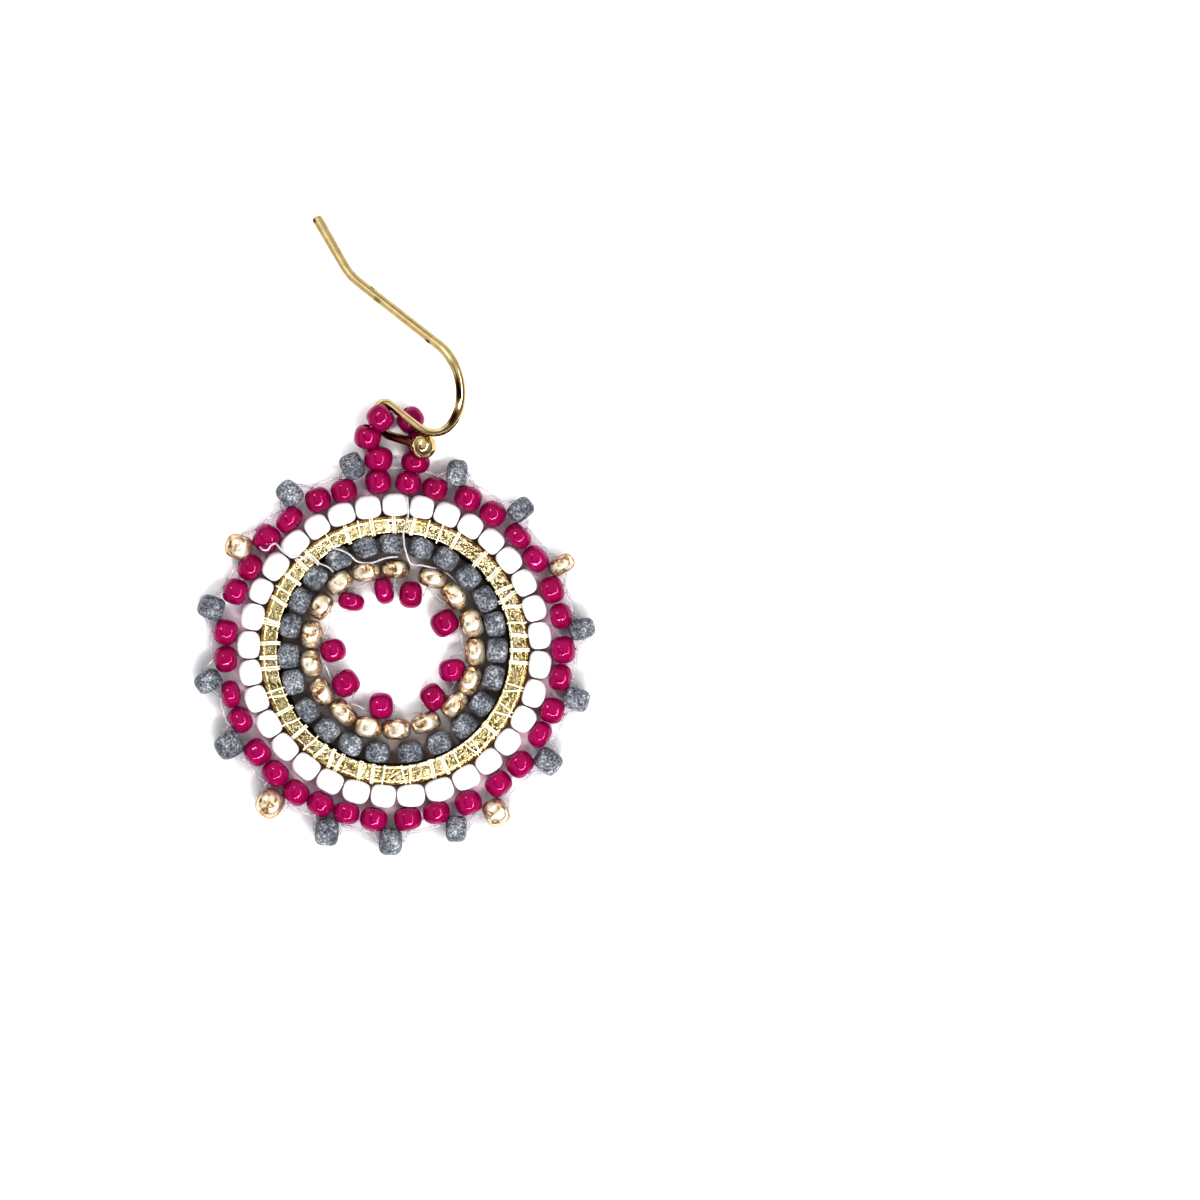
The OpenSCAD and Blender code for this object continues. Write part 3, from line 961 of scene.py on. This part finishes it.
# Painted dark reflections and shade on the wire: distance along it, half length, place across as seen from
# above (1 is the outer side of the arch), half width, depth
WIRE_PAINTED_DARKS = [
    (0.1, 0.22, -0.75, 0.35, 0.75), (7.9, 0.16, 0.9, 0.2, 0.5), (9.0, 0.35, -0.5, 0.4, 0.3),
    (10.8, 4.6, 0.3, 0.12, 0.28), (14.95, 0.2, -0.8, 0.22, 1.0), (19.95, 0.95, -0.5, 0.4, 1.0),
    (22.35, 0.7, -0.35, 0.5, 0.95), (25.2, 2.0, 0.75, 0.3, 0.45), (36.3, 1.7, 0.0, 1.5, 0.5),
]


def wire_plane_line():
    """Points along the wire in its own plane, close together."""
    x, y, heading = WIRE_START
    points = [(x, y)]
    for size, turn in WIRE_ROUTE:
        length = size if turn == 0 else size * math.radians(abs(turn))
        steps = max(4, round(length / WIRE_STEP))
        for n in range(1, steps + 1):
            share = n / steps
            if turn == 0:
                points.append(tuple(np.array([x, y]) + polar(size * share, heading)))
            else:
                side = math.copysign(1, turn)
                centre = np.array([x, y]) + polar(size, heading + 90 * side)
                points.append(tuple(centre + polar(size, heading - 90 * side + turn * share)))
        x, y = points[-1]
        heading += turn
    return np.array(points)


def out_of_plane(points):
    """Takes places in the wire's plane to places round the hoop's centre."""
    tilt, lie = math.radians(WIRE_TILT), math.radians(WIRE_LIE)
    along, across = points[:, 0], points[:, 1]
    flat = np.column_stack([along, -across * math.cos(tilt), across * math.sin(tilt) * WIRE_SETTLE])
    turn = np.array([[math.cos(lie), -math.sin(lie), 0], [math.sin(lie), math.cos(lie), 0], [0, 0, 1]])
    return flat @ turn.T + np.array([*WIRE_FOOT, WIRE_D / 2])


def wire_rings(line, along):
    """Rings round the wire, flatter in its own plane and rounded at the cut end."""
    close = np.clip(along / CUT_LENGTH, 0, 1)
    widths = np.interp(along, *WIRE_WIDTHS) * (1 - CUT_ROUND + CUT_ROUND * np.sqrt(1 - (1 - close) ** 2))
    tilt, lie = math.radians(WIRE_TILT), math.radians(WIRE_LIE)
    normal = (math.sin(lie) * math.sin(tilt), -math.cos(lie) * math.sin(tilt), math.cos(tilt))
    return tube_rings(line, widths, WIRE_SIDES, WIRE_FLAT, up=normal)


def wire_tints(line, along, rings):
    """1 for plain gold, less at the dim tip and where dark reflections and shade are painted."""
    outward = rings - line[:, None, :]
    outward /= np.linalg.norm(outward, axis=2)[:, :, None]
    heading = np.gradient(line[:, :2], axis=0)
    heading /= np.linalg.norm(heading, axis=1)[:, None]
    across = outward[:, :, 1] * heading[:, None, 0] - outward[:, :, 0] * heading[:, None, 1]
    tints = np.ones(across.shape) - TIP_DIM * np.clip((DIM_TO - along) / DIM_OVER, 0, 1)[:, None]
    # Dark reflections and shade painted on skin that faces up
    for middle, length, place, breadth, depth in WIRE_PAINTED_DARKS:
        fade_along = np.exp(-((along - middle) / length) ** 4)
        fade_across = np.exp(-((across - place) / breadth) ** 4)
        tints -= depth * fade_along[:, None] * fade_across * (outward[:, :, 2] > PAINTED_DARKS_DOWN_TO)
    return np.clip(tints, 0, 1).ravel()


def add_ball(shape, end, forward):
    """The dented ball on the wire's end, with its rows counted from the pole that faces forward."""
    side = np.cross(forward, (0, 0, 1))
    side /= np.linalg.norm(side)
    over = np.cross(side, forward)
    points, tints = [], []
    for i in range(1, BALL_ROWS):
        a = math.pi * i / BALL_ROWS
        for j in range(BALL_COLUMNS):
            b = 2 * math.pi * j / BALL_COLUMNS
            away = math.cos(a) * forward + math.sin(a) * (math.cos(b) * side + math.sin(b) * over)
            dent = BALL_DENTS * noise.noise(Vector(away) * DENT_FINENESS)
            points.append(end + away * (BALL_D / 2 - BALL_SUNK + dent))
            # A dark crescent is painted on the ball's top as a reflection
            aside = (math.degrees(math.atan2(away[1], away[0])) - CRESCENT_AT + 180) % 360 - 180
            out = (math.hypot(away[0], away[1]) - CRESCENT_OUT) / CRESCENT_HALF
            fade = math.exp(-out ** 2 - (aside / CRESCENT_REACH) ** 6)
            tints.append(1 - CRESCENT_DEPTH * fade * (away[2] > 0))
    add_rings(shape, np.array(points).reshape(BALL_ROWS - 1, BALL_COLUMNS, 3), tint=np.array(tints))


def ear_wire():
    line = out_of_plane(wire_plane_line())
    along = lengths_along(line)
    rings = wire_rings(line, along)
    shape = Shape()
    add_rings(shape, rings, tint=wire_tints(line, along, rings))
    forward = line[-1] - line[-4]
    add_ball(shape, line[-1], forward / np.linalg.norm(forward))
    build(shape, "ear_wire_gold", "wire", ["ear_wire"])


ear_wire()


# Camera, floor and light

# Where the camera aims, from the hoop's centre, and how much it takes in
CAMERA_AIM = (16.44, 4.04)
VIEW_WIDTH = 96.0
CAMERA_HEIGHT = 1200.0
SENSOR = 36.0
SKY_STRENGTH = 1.5
# The sky's strength at the horizon, and the height at which it is full
HORIZON_LIGHT = 0.3
FULL_FROM = 0.5
# How much brighter the sky is towards the upper left, where the lamps don't reach
UPPER_LEFT_LIFT = 0.45
# The dark crescent at the lower left: its distance from overhead, half its width and its soft edge, as sines
DARK_BAND = 0.48
DARK_HALF = 0.11
DARK_EDGE = 0.07
# Where the crescent starts and is full towards the lower left, and its depth
DARK_FROM = 0.02
DARK_FULL = 0.16
DARK_DEPTH = 0.92
# How uneven the crescent's edges are, and how fine that is
WARP = 0.16
WARP_FINENESS = 7.0
DIAGONAL = 0.707
LAMP_SCALE = 1.05
LAMP_DISTANCE = 450.0
# Strength of each lamp of the window arc, the arc's first azimuth and step, and its angle from overhead
WINDOW = [0.26, 0.44, 0.54, 0.50, 0.44, 0.36, 0.30, 0.24, 0.18, 0.13]
WINDOW_FROM = -112
WINDOW_STEP = 15.3
WINDOW_ANGLE = 41
WINDOW_SIZE = 72
# The other window's azimuth, angle from overhead, size and strength
FAR_WINDOW = (128, 40, 76, 0.48)
DISPLAY_GAMMA = 0.7


def camera():
    data = bpy.data.cameras.new("camera")
    data.sensor_width = SENSOR
    data.lens = SENSOR * CAMERA_HEIGHT / VIEW_WIDTH
    data.clip_start = 0.01
    data.clip_end = 10.0
    holder = bpy.data.objects.new("camera", data)
    bpy.context.scene.collection.objects.link(holder)
    x, y = HOOP_CENTRE[:2] + np.array(CAMERA_AIM)
    holder.location = Vector((x, y, MID_Z + CAMERA_HEIGHT)) * MM
    bpy.context.scene.camera = holder


# Colour of the paper by distance from the hoop's centre, with painted shade and light: deep shade is painted
# in and under the inner rows, and the light between the outer rows, as if off the gold and the magenta
# beads, is painted as a tint
PAPER = (0.82, 0.822, 0.83)
SHADE = [
    (4.6, PAPER), (6.0, (0.74, 0.735, 0.74)), (6.9, (0.68, 0.67, 0.67)), (7.35, (0.45, 0.39, 0.37)),
    (8.98, (0.41, 0.32, 0.28)), (9.12, (0.02, 0.014, 0.01)), (9.5, (0.02, 0.014, 0.01)),
    (10.5, (0.8, 0.50, 0.34)), (11.6, (0.92, 0.70, 0.68)), (12.5, (0.95, 0.72, 0.81)),
    (13.3, (0.94, 0.86, 0.91)),
]
# Further out a painted shadow rings the beads; it is paler at the top, where the beads' own shadows fall,
# than on the other sides
SHADE_BEHIND = [
    (13.9, (0.93, 0.90, 0.92)), (14.6, (0.91, 0.91, 0.92)), (15.8, (0.90, 0.90, 0.91)), (16.9, PAPER),
]
SHADE_AROUND = [
    (13.9, (0.74, 0.72, 0.74)), (14.6, (0.54, 0.54, 0.55)), (15.4, (0.54, 0.54, 0.55)),
    (16.3, (0.64, 0.64, 0.65)), (17.5, PAPER),
]
SHADE_END = 18.0
# The way to the pale side, and how far a place has to lie that way for it to set in and to be full
BEHIND = (-0.14, 0.99, 0.0)
BEHIND_FROM = 0.05
BEHIND_FULL = 0.7
FLOOR_HALF = 600.0
FLOOR_DROP = 0.02


def white_paper(tree):
    """Matte paper, with the shade that the beads and the hoop throw on it painted into its colour."""
    place = own_place(tree)
    share = calc(tree, "DIVIDE", vector_calc(tree, "LENGTH", place), SHADE_END * MM)
    facing = vector_calc(tree, "DOT_PRODUCT", vector_calc(tree, "NORMALIZE", place), BEHIND)
    # The painted shade and light, by distance and by side
    shades = [
        ramp(tree, share, [(radius / SHADE_END, colour) for radius, colour in SHADE + outside])
        for outside in (SHADE_AROUND, SHADE_BEHIND)
    ]
    behind = map_range(tree, facing, BEHIND_FROM, BEHIND_FULL)
    return {"Base Color": mix_colours(tree, behind, *shades), "Roughness": 0.8}


def floor():
    half = FLOOR_HALF * MM
    corners = [(x * half, y * half, 0) for x, y in ((-1, -1), (1, -1), (1, 1), (-1, 1))]
    mesh = bpy.data.meshes.new("floor")
    mesh.from_pydata(corners, [], [(0, 1, 2, 3)])
    surface = bpy.data.objects.new("floor", mesh)
    surface.location = (Vector(HOOP_CENTRE) - Vector((0, 0, FLOOR_DROP))) * MM
    bpy.context.scene.collection.objects.link(surface)
    mesh.materials.append(new_material("white_paper", white_paper))


def area_light(name, azimuth, angle, size, strength):
    """A soft lamp aimed at the hoop. Its angle is counted from straight above."""
    data = bpy.data.lights.new(name, "AREA")
    data.shape = "DISK"
    data.size = size * MM
    data.energy = strength * LAMP_SCALE
    lamp = bpy.data.objects.new(name, data)
    bpy.context.scene.collection.objects.link(lamp)
    a, p = math.radians(azimuth), math.radians(angle)
    away = Vector((math.cos(a) * math.sin(p), math.sin(a) * math.sin(p), math.cos(p)))
    aim = Vector(HOOP_CENTRE * MM)
    lamp.location = aim + away * LAMP_DISTANCE * MM
    lamp.rotation_mode = "QUATERNION"
    lamp.rotation_quaternion = (-away).to_track_quat("-Z", "Y")
    lamp.visible_camera = False


def sky():
    """Bright above and at the upper left, dim at the horizon, with a dark crescent at the lower left."""
    world = bpy.data.worlds.new("sky")
    bpy.context.scene.world = world
    world.use_nodes = True
    tree = world.node_tree
    tree.nodes.clear()

    def rise(value, low, high, first=0.0, last=1.0):
        return map_range(tree, value, low, high, first, last, "SMOOTHSTEP")

    def product(*values):
        return calc(tree, "MULTIPLY", *values)

    direction = add_node(tree, "TexCoord").outputs["Generated"]
    warp = add_node(tree, "TexNoise", {"Scale": WARP_FINENESS, "Vector": direction}).outputs["Fac"]
    xyz = split_xyz(tree, direction)
    x, y, z = xyz["X"], xyz["Y"], xyz["Z"]
    spread = calc(tree, "SQRT", calc(tree, "ADD", product(x, x), product(y, y)))
    spread = calc(tree, "ADD", spread, product(calc(tree, "SUBTRACT", warp, 0.5), WARP))
    off_band = calc(tree, "ABSOLUTE", calc(tree, "SUBTRACT", spread, DARK_BAND))
    band = rise(off_band, DARK_HALF, DARK_HALF + DARK_EDGE, 1.0, 0.0)
    lower_left = product(calc(tree, "ADD", x, y), -DIAGONAL)
    dark = product(band, rise(lower_left, DARK_FROM, DARK_FULL))
    upper_left = product(calc(tree, "SUBTRACT", y, x), DIAGONAL)
    lift = calc(tree, "ADD", 1.0, product(upper_left, UPPER_LEFT_LIFT))
    light = product(rise(z, 0.0, FULL_FROM, HORIZON_LIGHT, 1.0), lift)
    light = product(light, calc(tree, "SUBTRACT", 1.0, product(dark, DARK_DEPTH)))
    background = add_node(tree, "Background", {"Strength": product(light, SKY_STRENGTH)})
    add_node(tree, "OutputWorld", {"Surface": background.outputs["Background"]})


camera()
floor()
sky()
# The window light is an arc of lamps, strongest at the lower right
for number, strength in enumerate(WINDOW):
    area_light(f"window_{number}", WINDOW_FROM + number * WINDOW_STEP, WINDOW_ANGLE, WINDOW_SIZE, strength)
area_light("far_window", *FAR_WINDOW)
view = bpy.context.scene.view_settings
view.view_transform = "Standard"
view.gamma = DISPLAY_GAMMA
